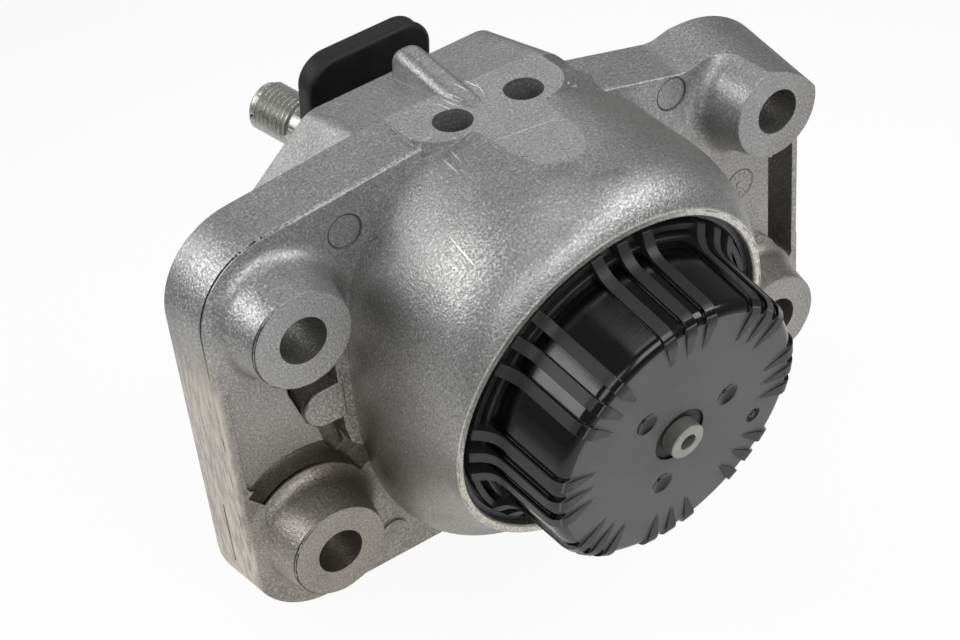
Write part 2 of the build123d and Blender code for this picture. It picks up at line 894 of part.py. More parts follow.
def plate_rivets():
    solids = []
    for spot in rivet_places():
        shank = disc(rivet_d, bead_back + rivet_head, upper_plate_back - rivet_head)
        front_head = disc(rivet_head_d, bead_back + rivet_head, bead_back)
        back_head = disc(rivet_head_d, upper_plate_back, upper_plate_back - rivet_head)
        solids.append(axis_frame * spot * (shank + front_head + back_head))
    return Compound(solids)


def decoupler_membrane():
    front = lower_plate_back + membrane_thickness
    return axis_frame * disc(membrane_d, front, lower_plate_back)


def air_cup():
    back = cup_front - cup_depth
    body = disc(cup_d, cup_front, back) - disc(cup_d - 2 * cup_wall, cup_front - cup_wall, back - 1)
    return axis_frame * (body - disc(port_d, cup_front + 1, back - 1))


def spring_outer_ring():
    outer_d = stack_bore_d
    return axis_frame * ring(outer_d, outer_d - 2 * spring_ring_wall, upper_plate_back, spring_seat_station)


def main_spring():
    ring_r = stack_bore_d / 2 - spring_ring_wall
    throat_r = spring_seat_bore_d / 2 - spring_clearance
    neck_r = core_neck_d / 2
    return axis_frame * turned(
        (ring_r, upper_plate_back - slip_gap),
        (ring_r, spring_seat_station),
        (throat_r, spring_seat_station),
        (throat_r - spring_shoulder, spring_seat_station - spring_shoulder),
        (neck_r + spring_top_width, core_neck_station),
        (neck_r, core_neck_station),
        (core_max_d / 2, core_max_station),
        (throat_r - spring_shoulder / 2, upper_plate_back - slip_gap),
    )


def core():
    neck_r = core_neck_d / 2
    shoulder = stop_front_station - stop_rubber
    body = turned(
        (0, core_nose_station),
        (core_nose_d / 2, core_nose_station),
        (core_max_d / 2, core_max_station),
        (neck_r, core_neck_station),
        (neck_r, shoulder),
        (core_spigot_d / 2, shoulder),
        (core_spigot_d / 2, stud_cross_station - 2 * stud_seat_stand),
        (0, stud_cross_station - 2 * stud_seat_stand),
    )
    above_seat = Pos(0, 0, stud_seat_stand) * extrude(Circle(core_neck_d), 4 * stud_seat_stand)
    socket = Pos(0, 0, stud_seat_stand - stud_socket_depth) * extrude(
        Circle(stud_shank_d / 2), stud_socket_depth
    )
    return axis_frame * body - stud_frame * above_seat - stud_frame * socket


def travel_buffer():
    front = travel_buffer_station
    back = front - travel_buffer_length
    body = ring(travel_buffer_d, core_neck_d, front, back)
    rims = body.edges().filter_by(GeomType.CIRCLE).sort_by(lambda edge: edge.radius)[-2:]
    return axis_frame * fillet(rims, travel_buffer_length / 3)


def stop_outline(inset):
    half = stop_half_width - inset
    top = stop_top - inset
    bottom = -stop_bottom + inset
    r = stop_corner_r - inset
    corners = [(-half, top, r), (half, top, r), (half, bottom, r), (-half, bottom, r)]
    return Pos(stop_shift, 0) * rounded(corners)


def stop_plate():
    front = stop_front_station - stop_rubber
    plate = prism(stop_outline(stop_cover), front, front - stop_steel)
    return axis_frame * (plate - disc(core_spigot_d, front + 1, front - stop_steel - 1))


def stop_buffer():
    front = stop_front_station
    back = front - 2 * stop_rubber - stop_steel
    parting = front - stop_rubber
    body = prism(stop_outline(0), front, parting)
    body = fillet(body.faces().sort_by(Axis.Z)[-1].edges(), stop_edge_r)
    rear = prism(stop_outline(stop_parting_step), parting, back)
    body = body + fillet(rear.faces().sort_by(Axis.Z)[0].edges(), stop_edge_r)
    steel = prism(stop_outline(stop_cover), front - stop_rubber, front - stop_rubber - stop_steel)
    body = body - steel - disc(core_neck_d + 2 * slip_gap, front + 1, front - stop_rubber)
    return axis_frame * (body - disc(stud_collar_d + 2 * stop_rubber, front - stop_rubber, back - 1))


def stud():
    seat = stud_seat_stand
    thread_foot = stud_length - stud_thread_length
    body = turned(
        (0, seat - stud_socket_depth),
        (stud_shank_d / 2, seat - stud_socket_depth),
        (stud_shank_d / 2, seat),
        (stud_collar_d / 2, seat),
        (stud_collar_d / 2, seat + stud_collar),
        (stud_shank_d / 2, seat + stud_collar),
        (stud_shank_d / 2, thread_foot),
        (stud_d / 2, thread_foot),
        (stud_d / 2, stud_length - stud_chamfer),
        (stud_d / 2 - stud_chamfer, stud_length),
        (0, stud_length),
    )
    flat_run = thread_foot - seat - stud_collar
    for side in (-1, 1):
        flat = Pos(0, side * (stud_flats / 2 + stud_d / 2), seat + stud_collar) * Box(
            2 * stud_d, stud_d, flat_run, align=(Align.CENTER, Align.CENTER, Align.MIN)
        )
        body = body - flat
    return stud_frame * body


pieces = {
    "housing": housing,
    "bottom_cap": bottom_cap,
    "snap_ring": snap_ring,
    "port_sleeve": port_sleeve,
    "port_grommet": port_grommet,
    "port_o_ring": port_o_ring,
    "bellows_diaphragm": bellows_diaphragm,
    "bellows_clamp": bellows_clamp,
    "lower_channel_plate": lower_channel_plate,
    "upper_channel_plate": upper_channel_plate,
    "channel_seal": channel_seal,
    "plate_rivets": plate_rivets,
    "decoupler_membrane": decoupler_membrane,
    "air_cup": air_cup,
    "spring_outer_ring": spring_outer_ring,
    "main_spring": main_spring,
    "core": core,
    "travel_buffer": travel_buffer,
    "stop_plate": stop_plate,
    "stop_buffer": stop_buffer,
    "stud": stud,
}

os.makedirs("parts", exist_ok=True)
for name, make in pieces.items():
    solid = make()
    export_step(solid, os.path.join("parts", name + ".step"))
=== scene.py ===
"""Finishes, fine detail and stage of a hydraulic engine mount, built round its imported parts."""

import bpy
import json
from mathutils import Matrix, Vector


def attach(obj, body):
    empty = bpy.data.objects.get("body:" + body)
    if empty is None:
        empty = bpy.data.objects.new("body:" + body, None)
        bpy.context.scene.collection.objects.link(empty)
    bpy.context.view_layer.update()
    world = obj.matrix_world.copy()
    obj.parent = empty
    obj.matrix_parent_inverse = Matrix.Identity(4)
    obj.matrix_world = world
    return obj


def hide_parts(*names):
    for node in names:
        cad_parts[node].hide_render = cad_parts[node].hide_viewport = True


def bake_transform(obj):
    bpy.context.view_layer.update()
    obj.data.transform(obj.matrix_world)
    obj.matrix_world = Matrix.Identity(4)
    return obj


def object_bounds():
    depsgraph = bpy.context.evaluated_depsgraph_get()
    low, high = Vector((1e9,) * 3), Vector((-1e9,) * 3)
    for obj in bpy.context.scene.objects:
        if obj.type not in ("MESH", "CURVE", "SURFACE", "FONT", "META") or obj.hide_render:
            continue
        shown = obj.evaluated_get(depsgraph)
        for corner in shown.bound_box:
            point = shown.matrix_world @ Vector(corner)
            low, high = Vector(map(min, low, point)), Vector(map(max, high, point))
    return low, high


bl_info = {
    "name": "Engine mount finish",
    "version": (1, 0, 0),
    "blender": (4, 5, 0),
    "location": "View3D > Sidebar > Engine mount",
    "description": "Adds the finishes, thread, cast detail and stage of an engine mount",
    "category": "Object",
}

import json
import math

import bpy
from mathutils import Matrix, Vector

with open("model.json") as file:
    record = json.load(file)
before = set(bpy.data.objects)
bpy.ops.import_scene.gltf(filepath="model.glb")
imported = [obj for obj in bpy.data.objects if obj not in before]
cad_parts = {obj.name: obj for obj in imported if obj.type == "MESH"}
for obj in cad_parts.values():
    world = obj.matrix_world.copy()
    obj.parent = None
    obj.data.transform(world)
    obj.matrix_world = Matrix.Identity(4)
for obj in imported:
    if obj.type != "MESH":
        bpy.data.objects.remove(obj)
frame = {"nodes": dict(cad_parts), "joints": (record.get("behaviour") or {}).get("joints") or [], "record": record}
CAD_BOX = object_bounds()

MM = 0.001

# The tilted axis of the rubber and fluid parts: a point on it, its direction towards the stud, and
# the two directions across it.
AXIS_POINT = Vector((-5.1, 0.0, 7.8)) * MM
SLIDE = Vector(frame["joints"][0]["axis"]).normalized()
SIDE = Vector((SLIDE.y, -SLIDE.x, 0.0)).normalized()
RISE = SIDE.cross(SLIDE).normalized()

MOUNTS = {mount["name"]: mount for mount in frame["record"]["mounts"]}
STUD_AXIS = Vector(MOUNTS["stud"]["axis"]).normalized()
STUD_MIDDLE = Vector(MOUNTS["stud"]["pos_m"])
STUD_RADIUS = MOUNTS["stud"]["dims"]["r_mm"]
STUD_LENGTH = MOUNTS["stud"]["dims"]["length_mm"]
BOLT_X = MOUNTS["flange_bolts"]["dims"]["spacing_x_mm"] / 2
BOLT_Z = MOUNTS["flange_bolts"]["dims"]["spacing_y_mm"] / 2
BOLT_RADIUS = MOUNTS["flange_bolts"]["dims"]["hole_r_mm"]

# Stations in front of the boss faces on the tilted axis, and radii round it, in millimetres.
RIM_FRONT = 26.4
RIM_RADIUS = 45.9
CAP_FACE = 49.0
CAP_STEP = 26.0
CAP_FACE_RADIUS = 35.5
CAP_STEP_RADIUS = 36.7
DIMPLE_RADIUS = 14.8
PORT_END = 52.0
# The parting line and the floor of the flange's web, behind the boss faces.
PARTING = 13.4
WEB_FLOOR = 14.4
BOSS_FACE_RADIUS = 12.4
# Centre of the cast disc on the flange, across and up.
CAST_DISC = (67.9, 3.2)

# A metric thread's depth and half the width of its ridge, as shares of its pitch.
THREAD_DEPTH = 0.61
THREAD_HALF_WIDTH = 0.42
THREAD_STEPS = 48
# A tick's length, width and distance from the middle, and the pin's radius, as shares of the
# radius of a tick disc.
TICK_LENGTH = 0.36
TICK_WIDTH = 0.09
TICK_DISTANCE = 0.72
PIN_RADIUS = 0.3

STEEL_NODES = ("snap_ring", "bellows_clamp", "plate_rivets", "spring_outer_ring", "stop_plate")
RUBBER_NODES = (
    "port_grommet",
    "port_o_ring",
    "bellows_diaphragm",
    "channel_seal",
    "decoupler_membrane",
    "travel_buffer",
    "stop_buffer",
)

# The next four tables are streaks and patches on the casting. Each row is a start, an end, the
# direction that the surface faces there, and a width, in millimetres.
SCRATCHES = (
    ((-33.2, -6.6, 50.0), (-34.1, -21.8, 47.2), (-0.63, -0.1, 0.76), 0.5),
    ((-23.2, 8.6, 56.6), (-23.4, 0.3, 56.0), (-0.36, -0.05, 0.93), 0.55),
    ((-20.8, 9.0, 57.8), (-21.2, 2.3, 56.8), (-0.3, -0.1, 0.95), 0.4),
    ((-14.0, 24.6, 59.3), (-12.6, 18.2, 59.3), (0.0, 0.0, 1.0), 0.5),
    ((-12.4, 25.4, 59.3), (-10.4, 18.4, 59.3), (0.0, 0.0, 1.0), 0.5),
    ((-10.6, 25.8, 59.3), (-8.4, 19.0, 59.3), (0.0, 0.0, 1.0), 0.45),
    ((-8.0, 28.6, 59.8), (-5.6, 20.6, 59.3), (0.0, 0.0, 1.0), 0.7),
    ((-4.0, 29.5, 59.8), (-2.4, 21.6, 59.3), (0.0, 0.0, 1.0), 0.5),
    ((-1.8, 26.3, 59.3), (-3.6, 18.8, 59.3), (0.0, 0.0, 1.0), 0.35),
    ((-16.0, 3.0, 58.6), (6.0, 0.0, 59.3), (0.0, 0.0, 1.0), 0.3),
)
# Dark flow lines left by the melt.
STAINS = (
    ((-43.5, 12.0, 40.5), (-40.5, 8.0, 43.5), (-0.8, 0.0, 0.6), 0.45),
    ((-12.0, -6.0, 59.3), (-10.0, -8.0, 59.3), (0.0, 0.0, 1.0), 0.6),
    ((-50.5, 9.4, 1.5), (-49.5, 4.0, -1.0), (-1.0, 0.0, 0.0), 0.6),
)
# Broad faint smudges.
SMUDGES = (
    ((-13.0, -14.0, 59.0), (-2.0, -18.0, 58.8), (0.0, -0.2, 1.0), 7.0),
    ((-6.0, -21.0, 57.8), (8.0, -24.0, 57.0), (0.0, -0.35, 0.93), 5.0),
    ((-45.0, -12.0, 6.0), (-50.0, -14.0, -12.0), (-1.0, 0.0, 0.0), 9.0),
)
# Patches of painted highlight, drawn as more bright grains.
PAINTED_HIGHLIGHT_PATCHES = (
    ((-86.5, 21.0, 30.0), (-72.0, 15.0, 56.0), (-0.7, -0.1, 0.7), 20.0),
    ((-81.0, 8.0, 31.0), (-72.0, 5.0, 48.0), (-0.66, -0.23, 0.71), 15.0),
    ((-43.0, -17.0, 34.0), (-24.0, -19.0, 58.0), (-0.6, -0.2, 0.77), 22.0),
    ((-24.0, -29.0, 48.0), (22.0, -29.0, 51.0), (0.0, -0.6, 0.77), 13.0),
    ((-65.0, 12.1, -0.4), (-50.0, 12.1, -0.4), (0.0, -1.0, 0.0), 13.0),
    ((-53.5, 12.8, -32.0), (-53.5, 12.8, 16.0), (0.0, -1.0, 0.0), 7.0),
)
# A streak reaches this far above and below its surface, so that it meets it everywhere.
STREAK_REACH = 2.5
# Witness rings of the two ejector pins and the cast disc: centre across and up, and radius.
WITNESS_RINGS = ((-47.6, 45.4, 4.3), (45.4, 41.4, 4.3), (*CAST_DISC, 4.25))

# The soft boxes: name, direction from the mount, and share of the lamp power.
LAMPS = (
    ("left_softbox", (-0.75, 0.40, 0.53), 0.37),
    ("rear_softbox", (-0.3, 0.85, 0.4), 0.18),
    ("back_softbox", (0.46, 0.69, 0.56), 0.10),
    ("top_softbox", (0.0, 0.0, 1.0), 0.15),
    ("right_softbox", (0.68, -0.36, 0.64), 0.38),
    ("front_softbox", (0.1, -0.8, 0.6), 0.31),
    ("fill_softbox", (-0.55, -0.60, 0.58), 0.24),
)
# Their edge length and distance, in metres, and the strength of the room's even light.
LAMP_SIZE = 0.5
LAMP_DISTANCE = 1.1
WORLD_STRENGTH = 0.17
# The floor's edge length, and how far it is bright and from where it is grey, in metres.
FLOOR_SIZE = 12.0
POOL = (0.16, 0.38)
# How much of full white the camera sees in the floor, which otherwise keeps the shadow, and how
# much of it is mirrored where the floor is grey and where it is bright.
FLOOR_WHITE = 0.93
MIRRORED_WHITE = (0.12, 0.6)

# The photograph's view: the point that it looks at and the distance to it, in metres, its turn, tip
# and roll in radians, and the lens in millimetres.
CAMERA_AIM = Vector((-22.7, 0.0, 14.67)) * MM
CAMERA_DISTANCE = 0.488
CAMERA_TURN = 0.535
CAMERA_TIP = 0.677
CAMERA_ROLL = -0.107
CAMERA_LENS = 78.36


def linear(code):
    """Turns a hex sRGB colour into Blender's linear values."""
    levels = [int(code[i:i + 2], 16) / 255 for i in (1, 3, 5)]
    return [v / 12.92 if v <= 0.04045 else ((v + 0.055) / 1.055) ** 2.4 for v in levels] + [1.0]


def per_mm(size):
    """The texture scale whose pattern repeats about once in this many millimetres."""
    return 1.0 / (size * MM)


def axis_place(side, back, rise):
    """A point given in millimetres across, behind and above the boss faces on the tilted axis."""
    return AXIS_POINT + SIDE * side * MM + SLIDE * back * MM + RISE * rise * MM


def axis_matrix(side=0.0, back=0.0, rise=0.0):
    """A frame on the tilted axis whose Z looks out of the cap and X runs across it."""
    basis = Matrix((SIDE, RISE, -SLIDE)).transposed().to_4x4()
    return Matrix.Translation(axis_place(side, back, rise)) @ basis


def cap_matrix(radius, degrees, station):
    """A frame like that at a radius and an angle round the cap."""
    turn = math.radians(degrees)
    return axis_matrix(radius * math.cos(turn), -station, radius * math.sin(turn))


def face_matrix(x, y, z):
    """A frame on the front of the flange whose Z looks out of it and Y runs up."""
    basis = Matrix(((1, 0, 0), (0, 0, 1), (0, -1, 0))).transposed().to_4x4()
    return Matrix.Translation(Vector((x, y, z)) * MM) @ basis


def add_node(tree, kind, settings=None, links=None):
    """Adds a shader node, sets its properties and sockets, and links its inputs.

    A socket goes by its name, or by its number where a name repeats. On a Mix node 0 is the share,
    2 and 3 are its two values, and 6 and 7 its two colours.
    """
    node = tree.nodes.new(kind)
    for key, value in (settings or {}).items():
        if isinstance(key, str) and key not in node.inputs:
            setattr(node, key, value)
        else:
            node.inputs[key].default_value = value
    for key, source in (links or {}).items():
        tree.links.new(source, node.inputs[key])
    return node


def new_material(name):
    """An empty material, its tree and its Object coordinates."""
    material = bpy.data.materials.new(name)
    material.use_nodes = True
    tree = material.node_tree
    tree.nodes.clear()
    return material, tree, add_node(tree, "ShaderNodeTexCoord").outputs["Object"]


def streaks(tree, place, lines):
    """Thin spindles between pairs of points: 1 on their middle lines and 0 outside."""
    total = None
    for start, end, facing, width in lines:
        first, last = Vector(start) * MM, Vector(end) * MM
        along = (last - first).normalized()
        across = Vector(facing).cross(along).normalized()
        local = add_node(
            tree,
            "ShaderNodeMapping",
            {
                "vector_type": "TEXTURE",
                "Location": (first + last) / 2,
                "Rotation": Matrix((along, across, along.cross(across))).transposed().to_euler(),
                "Scale": (
                    (last - first).length / 2,
                    width * MM / 2,
                    max(STREAK_REACH, width / 2) * MM,
                ),
            },
            {"Vector": place},
        ).outputs[0]
        spindle = add_node(
            tree, "ShaderNodeTexGradient", {"gradient_type": "SPHERICAL"}, {"Vector": local}
        ).outputs["Fac"]
        if total is None:
            total = spindle
        else:
            total = add_node(
                tree, "ShaderNodeMath", {"operation": "MAXIMUM"}, {0: total, 1: spindle}
            ).outputs[0]
    return total


def axis_depth(tree, place):
    """The distance in front of the boss faces along the tilted axis."""
    offset = add_node(
        tree, "ShaderNodeVectorMath", {"operation": "SUBTRACT", 1: AXIS_POINT}, {0: place}
    ).outputs[0]
    return add_node(
        tree, "ShaderNodeVectorMath", {"operation": "DOT_PRODUCT", 1: -SLIDE}, {0: offset}
    ).outputs["Value"]


def lay_over(tree, colour, layers):
    """Lays colours over a colour in turn, each by its strength times all its masks."""
    for masks, strength, over, blend in layers:
        share = add_node(
            tree, "ShaderNodeMath", {"operation": "MULTIPLY", 1: strength}, {0: masks[0]}
        ).outputs[0]
        for mask in masks[1:]:
            share = add_node(
                tree, "ShaderNodeMath", {"operation": "MULTIPLY"}, {0: share, 1: mask}
            ).outputs[0]
        colour = add_node(
            tree,
            "ShaderNodeMix",
            {"data_type": "RGBA", "blend_type": blend, 7: over},
            {0: share, 6: colour},
        ).outputs[2]
    return colour


def close_surface(tree, edge, traits, links, bump=None, relief=None):
    """Rounds the edges for the light, adds the relief and ends a material in its shader."""
    normal = add_node(
        tree, "ShaderNodeBevel", {"samples": 4, "Radius": edge * MM}
    ).outputs["Normal"]
    if bump:
        normal = add_node(
            tree, "ShaderNodeBump", bump, {**relief, "Normal": normal}
        ).outputs["Normal"]
    shader = add_node(tree, "ShaderNodeBsdfPrincipled", traits, {**links, "Normal": normal})
    add_node(tree, "ShaderNodeOutputMaterial", None, {"Surface": shader.outputs[0]})


class MountFinishes(bpy.types.PropertyGroup):
    """Colours of the mount's finishes."""

    casting: bpy.props.FloatVectorProperty(
        name="Casting",
        description="Mean colour of the blasted casting",
        subtype="COLOR",
        size=4,
        min=0.0,
        max=1.0,
        default=linear("#a6a6a6"),
    )
    casting_bright: bpy.props.FloatVectorProperty(
        name="Casting grains",
        description="Colour of the bright grains",
        subtype="COLOR",
        size=4,
        min=0.0,
        max=1.0,
        default=linear("#f0f0ee"),
    )
    casting_dark: bpy.props.FloatVectorProperty(
        name="Casting pits",
        description="Colour of the pits between the grains",
        subtype="COLOR",
        size=4,
        min=0.0,
        max=1.0,
        default=linear("#6d6c6b"),
    )
    # The cap face's grey is partly its satin finish and partly a painted sheen.
    cap_face: bpy.props.FloatVectorProperty(
        name="Cap face",
        description="Colour of the cap's satin face",
        subtype="COLOR",
        size=4,
        min=0.0,
        max=1.0,
        default=linear("#5f5f5e"),
    )
    cap_wall: bpy.props.FloatVectorProperty(
        name="Cap wall",
        description="Colour of the cap's glossy wall",
        subtype="COLOR",
        size=4,
        min=0.0,
        max=1.0,
        default=linear("#0a0a0b"),
    )
    rubber: bpy.props.FloatVectorProperty(
        name="Rubber",
        description="Colour of the rubber",
        subtype="COLOR",
        size=4,
        min=0.0,
        max=1.0,
        default=linear("#0d0d0d"),
    )


class MountSizes(bpy.types.PropertyGroup):
    """Sizes of the detail that is modelled here."""

    thread_pitch: bpy.props.FloatProperty(
        name="Thread pitch",
        description="Pitch of the stud's thread",
        default=1.5 * MM,
        min=0.0,
        unit="LENGTH",
    )
    thread_length: bpy.props.FloatProperty(
        name="Thread length",
        description="Length of the threaded end",
        default=14.0 * MM,
        min=0.0,
        unit="LENGTH",
    )
    tick_count: bpy.props.IntProperty(
        name="Ticks",
        description="Number of ticks round each moulded or cast disc",
        default=12,
        min=3,
    )
    flash_width: bpy.props.FloatProperty(
        name="Flash width",
        description="Width of the casting flash on rims and bosses",
        default=0.5 * MM,
        min=0.0,
        unit="LENGTH",
    )


class MountStage(bpy.types.PropertyGroup):
    """Floor and light."""

    floor_drop: bpy.props.FloatProperty(
        name="Floor drop",
        description="Distance of the floor below the mount",
        default=0.5 * MM,
        min=0.0,
        unit="LENGTH",
    )
    lamp_power: bpy.props.FloatProperty(
        name="Lamp power",
        description="Power that the soft boxes take their shares of",
        default=9.0,
        min=0.0,
        unit="POWER",
    )


def blasted_aluminium(name, colours, marked):
    """Die-cast aluminium after shot blasting.

    Matt mid grey with bright grains and dark pits, and soft patches where the blast was stronger.
    A marked casting also has its parting line, witness rings, scratches and stains, and painted highlights and
    shade.
    """
    material, tree, place = new_material(name)
    # Shot leaves dents 0.1 to 0.2 mm wide, drawn at 0.6 mm, as coarse as they need to show. The
    # blast varies over about 11 mm, and the oxide's warmth over about 46 mm.
    grain, patch, cloud = (
        add_node(
            tree,
            "ShaderNodeTexNoise",
            {"Scale": per_mm(width), "Detail": detail, "Roughness": roughness},
            {"Vector": place},
        ).outputs["Fac"]
        for width, detail, roughness in ((0.6, 2.0, 0.6), (11.0, 4.0, 0.6), (46.0, 2.0, 0.5))
    )
    grain_and_highlight = grain
    if marked:
        # The patches of painted highlight raise the share of bright grains.
        highlight_lift = add_node(
            tree,
            "ShaderNodeMapRange",
            {"From Max": 0.5, "To Max": 0.085},
            {"Value": streaks(tree, place, PAINTED_HIGHLIGHT_PATCHES)},
        ).outputs["Result"]
        grain_and_highlight = add_node(
            tree, "ShaderNodeMath", {"operation": "ADD"}, {0: grain, 1: highlight_lift}
        ).outputs[0]
    tone, pit, peak, warm, roughness, strength = (
        add_node(
            tree,
            "ShaderNodeMapRange",
            {"From Min": start, "From Max": end, "To Min": low, "To Max": high},
            {"Value": source},
        ).outputs["Result"]
        for source, start, end, low, high in (
            (patch, 0.3, 0.7, 0.0, 0.45),
            (grain, 0.48, 0.32, 0.0, 0.5),
            (grain_and_highlight, 0.56, 0.74, 0.0, 0.7),
            (cloud, 0.48, 0.68, 0.0, 0.35),
            (patch, 0.3, 0.7, 0.48, 0.38),
            (patch, 0.35, 0.65, 0.35, 0.75),
        )
    )
    colour = add_node(
        tree,
        "ShaderNodeMix",
        {"data_type": "RGBA", 6: colours.casting, 7: linear("#c2c2c2")},
        {0: tone},
    ).outputs[2]
    colour = lay_over(
        tree,
        colour,
        (
            ((pit,), 1.0, colours.casting_dark, "MIX"),
            ((peak,), 1.0, colours.casting_bright, "MIX"),
            ((warm,), 1.0, linear("#d8d0c4"), "MULTIPLY"),
        ),
    )
    if marked:
        colour = casting_marks(tree, place, colour)
    close_surface(
        tree,
        0.35,
        {"Metallic": 0.85},
        {"Base Color": colour, "Roughness": roughness},
        {"Distance": 0.25 * MM},
        {"Strength": strength, "Height": grain},
    )
    return material


def casting_marks(tree, place, colour):
    """Draws what casting, drilling and handling left on the housing over its colour, with some painted shade and
    highlight.
    """
    part = add_node(tree, "ShaderNodeSeparateXYZ", None, {"Vector": place}).outputs
    speck = add_node(
        tree, "ShaderNodeTexNoise", {"Scale": per_mm(0.7), "Detail": 1.0}, {"Vector": place}
    ).outputs["Fac"]
    # The drag marks are about 0.9 mm wide and seven times as long.
    upright = add_node(
        tree, "ShaderNodeMapping", {"Scale": (1.0, 1.0, 0.14)}, {"Vector": place}
    ).outputs[0]
    drag = add_node(
        tree, "ShaderNodeTexNoise", {"Scale": per_mm(0.9), "Detail": 2.0}, {"Vector": upright}
    ).outputs["Fac"]
    # The four bolt holes are alike, so a distance to the nearest one is taken on absolute values.
    level = add_node(
        tree, "ShaderNodeCombineXYZ", None, {"X": part["X"], "Z": part["Z"]}
    ).outputs[0]
    quarter = add_node(
        tree, "ShaderNodeVectorMath", {"operation": "ABSOLUTE"}, {0: level}
    ).outputs[0]
    bolt, *rings = (
        add_node(
            tree,
            "ShaderNodeVectorMath",
            {"operation": "DISTANCE", 1: Vector((x, 0, z)) * MM},
            {0: source},
        ).outputs["Value"]
        for source, x, z in (
            (quarter, BOLT_X, BOLT_Z),
            *((level, x, z) for x, z, radius in WITNESS_RINGS),
        )
    )
    drilled = add_node(
        tree,
        "ShaderNodeMath",
        {"operation": "LESS_THAN", 1: (BOLT_RADIUS + 0.08) * MM},
        {0: bolt},
    ).outputs[0]

    # Bands: what is measured, the middle of the band and half its width, in millimetres.
    crease, flash_and_edge_highlight, land, web, shaded_boss_edge, boss_front, *rings = (
        add_node(
            tree,
            "ShaderNodeMath",
            {"operation": "COMPARE", 1: middle * MM, 2: half * MM},
            {0: source},
        ).outputs[0]
        for source, middle, half in (
            (part["Y"], PARTING, 0.3),
            (part["Y"], PARTING, 0.4),
            (part["X"], 1.2, 22.8),
            (part["Y"], PARTING, 1.4),
            (bolt, BOSS_FACE_RADIUS + 0.05, 0.3),
            (part["Y"], 0.2, 0.6),
            *((ring, row[2], 0.28) for ring, row in zip(rings, WITNESS_RINGS)),
        )
    )
    beside_land = add_node(
        tree, "ShaderNodeMath", {"operation": "SUBTRACT", 0: 1.0}, {1: land}
    ).outputs[0]

    # Slopes by place: what is measured, where the mark starts and is whole, in millimetres, and
    # how much of it there is before the start.
    rim_lip, left_end, top, low, leftwards, outside, end_face, lower_half = (
        add_node(
            tree,
            "ShaderNodeMapRange",
            {"From Min": start * MM, "From Max": end * MM, "To Min": least},
            {"Value": source},
        ).outputs["Result"]
        for source, start, end, least in (
            (axis_depth(tree, place), RIM_FRONT - 0.4, RIM_FRONT - 0.15, 0.0),
            (part["X"], -56.0, -70.0, 0.0),
            (part["Z"], 49.0, 52.0, 0.0),
            (part["Z"], 40.0, -30.0, 0.0),
            (part["X"], -30.0, -60.0, 0.35),
            (part["X"], -72.0, -77.0, 0.0),
            (part["X"], -84.2, -85.4, 0.0),
            (part["Z"], 34.0, 16.0, 0.0),
        )
    )

    # Patterns: a noise or a set of streaks, the values that it is cut at, and the least and most.
    sheared, ragged, broken, dragged, stained, smudged, scratched = (
        add_node(
            tree,
            "ShaderNodeMapRange",
            {"From Min": start, "From Max": end, "To Min": least, "To Max": most},
            {"Value": source},
        ).outputs["Result"]
        for source, start, end, least, most in (
            (speck, 0.36, 0.6, 0.3, 0.95),
            (speck, 0.45, 0.56, 0.0, 1.0),
            (speck, 0.34, 0.5, 0.25, 1.0),
            (drag, 0.38, 0.62, 0.25, 0.8),
            (streaks(tree, place, STAINS), 0.0, 0.6, 0.0, 1.0),
            (streaks(tree, place, SMUDGES), 0.0, 0.8, 0.0, 1.0),
            (streaks(tree, place, SCRATCHES), 0.1, 0.5, 0.0, 1.0),
        )
    )

    return lay_over(
        tree,
        colour,
        (
            # The rim's narrow end face is rough and bright where the flash was sheared off.
            ((rim_lip, sheared), 1.0, linear("#f1eee7"), "MIX"),
            # The parting line is a dark crease on the left end of the flange.
            ((crease, left_end), 1.0, linear("#2a2826"), "MIX"),
            # A bright ragged band along the top front edge, except on the land: partly flash, partly a painted
            # edge highlight.
            ((flash_and_edge_highlight, top, beside_land, ragged), 0.8, linear("#e6e4df"), "MIX"),
            # The lower left side is painted warmer and darker towards the bottom: partly a warm tint of the metal,
            # partly painted shade.
            ((low, leftwards), 0.75, linear("#e2d8c8"), "MULTIPLY"),
            # The pins and the disc left thin dark rings on the web.
            *(((ring, web), 0.8, linear("#5a5856"), "MIX") for ring in rings),
            # Drilled walls are painted a darker brown.
            ((drilled,), 0.3, linear("#55504b"), "MIX"),
            # The left edges of the boss faces, where the die undercut them, carry painted shade.
            ((shaded_boss_edge, outside, boss_front), 0.85, linear("#2e2c2a"), "MIX"),
            # The end face slid along the die and shows pale upright drag marks.
            ((dragged, end_face, lower_half), 1.0, linear("#e4ddd0"), "MIX"),
            ((stained,), 0.55, linear("#444342"), "MIX"),
            ((smudged, speck), 0.45, linear("#4c4b4a"), "MIX"),
            ((scratched, broken), 1.0, linear("#ffffff"), "MIX"),
        ),
    )


